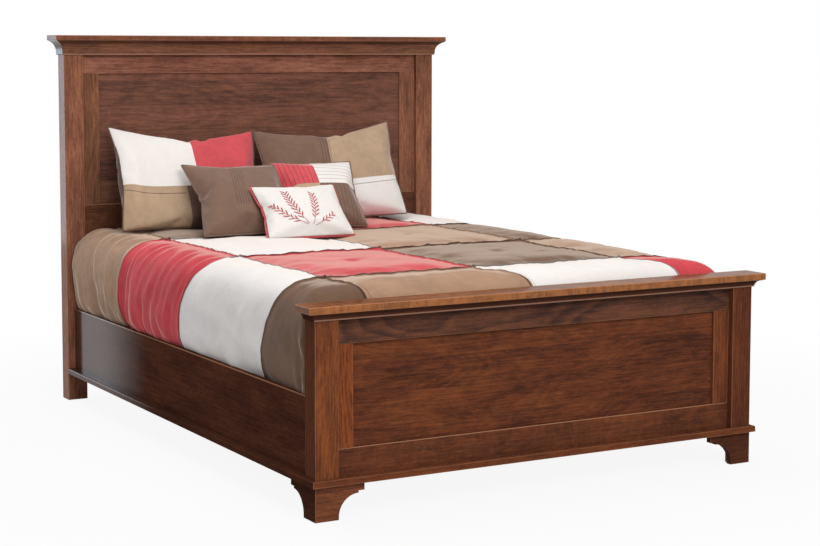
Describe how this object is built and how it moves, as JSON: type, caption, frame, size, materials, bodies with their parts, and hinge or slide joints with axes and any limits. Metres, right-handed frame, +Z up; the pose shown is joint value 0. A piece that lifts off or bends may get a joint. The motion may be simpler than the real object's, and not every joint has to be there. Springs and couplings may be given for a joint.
{
  "type": "panel bed",
  "caption": "Dressed queen panel bed: framed headboard and footboard under cove crowns, moulded side rails, bracket feet, slats, mattress, patchwork comforter and pillows.",
  "frame": {"origin": "middle of the whole outline, on the floor", "axes": "+Z up, +Y towards the headboard, +X to the right of someone at the footboard looking at the headboard"},
  "size_m": [1.752, 2.256, 1.441],
  "materials": {
    "stained_hardwood": "dark reddish-brown stained hardwood under satin lacquer",
    "stained_panels": "edge-glued stained hardwood boards under satin lacquer",
    "plain_hardwood": "unfinished planed hardwood",
    "steel_hardware": "zinc-plated steel",
    "glide_plastic": "moulded nylon on a steel stem",
    "ticking": "woven ticking",
    "mattress_cover": "knitted cover",
    "comforter_suede": "pieced micro-suede and cotton squares with gathered seams",
    "sham_suede": "pieced micro-suede",
    "accent_suede": "micro-suede with sewn tucks and pleats",
    "embroidered_linen": "linen with corded edge and stitched sprigs"
  },
  "bodies": {
    "bed_frame": {"base_moulding_front": "stained_hardwood", "base_moulding_left": "stained_hardwood", "base_moulding_right": "stained_hardwood", "foot_block_left": "plain_hardwood", "foot_block_right": "plain_hardwood", "foot_front_left": "stained_hardwood", "foot_front_right": "stained_hardwood", "foot_side_left": "stained_hardwood", "foot_side_right": "stained_hardwood", "footboard_bottom_rail": "stained_hardwood", "footboard_cap": "stained_hardwood", "footboard_crown_backer": "stained_hardwood", "footboard_crown_front": "stained_hardwood", "footboard_crown_left": "stained_hardwood", "footboard_crown_right": "stained_hardwood", "footboard_panel": "stained_panels", "footboard_post_left": "stained_hardwood", "footboard_post_right": "stained_hardwood", "footboard_stile_left": "stained_hardwood", "footboard_stile_right": "stained_hardwood", "footboard_top_rail": "stained_hardwood", "headboard_bottom_rail": "stained_hardwood", "headboard_cap": "stained_hardwood", "headboard_crown_backer": "stained_hardwood", "headboard_crown_front": "stained_hardwood", "headboard_crown_left": "stained_hardwood", "headboard_crown_right": "stained_hardwood", "headboard_panel": "stained_panels", "headboard_post_left": "stained_hardwood", "headboard_post_right": "stained_hardwood", "headboard_stile_left": "stained_hardwood", "headboard_stile_right": "stained_hardwood", "headboard_stretcher": "stained_hardwood", "headboard_top_rail": "stained_hardwood", "keeper_plates": "steel_hardware", "rail_hooks": "steel_hardware", "rail_moulding_left": "stained_hardwood", "rail_moulding_right": "stained_hardwood", "side_rail_left": "stained_hardwood", "side_rail_right": "stained_hardwood", "slat_1": "plain_hardwood", "slat_2": "plain_hardwood", "slat_3": "plain_hardwood", "slat_4": "plain_hardwood", "slat_5": "plain_hardwood", "slat_cleat_left": "plain_hardwood", "slat_cleat_right": "plain_hardwood", "slat_pegs": "plain_hardwood", "support_leg_1": "plain_hardwood", "support_leg_2": "plain_hardwood"},
    "mattress_set": {"mattress": "mattress_cover", "box_spring": "ticking", "comforter": "comforter_suede"},
    "pillow_stack": {"left_sham": "sham_suede", "right_sham": "sham_suede", "brown_pillow": "accent_suede", "pleated_pillow": "accent_suede", "embroidered_pillow": "embroidered_linen"},
    "glide_1": {"levelling_glide_1": "glide_plastic"},
    "glide_2": {"levelling_glide_2": "glide_plastic"}
  },
  "joints": [
    {"name": "mattress_lift", "type": "slide", "parent": "bed_frame", "child": "mattress_set", "axis": [0, 0, 1], "range_m": [0, 0.2]},
    {"name": "pillow_lift", "type": "slide", "parent": "mattress_set", "child": "pillow_stack", "axis": [0, -0.6, 0.8], "range_m": [0, 0.6]},
    {"name": "glide_1_screw", "type": "slide", "parent": "bed_frame", "child": "glide_1", "axis": [0, 0, -1], "range_m": [0, 0.015]},
    {"name": "glide_2_screw", "type": "slide", "parent": "bed_frame", "child": "glide_2", "axis": [0, 0, -1], "range_m": [0, 0.015]}
  ]
}
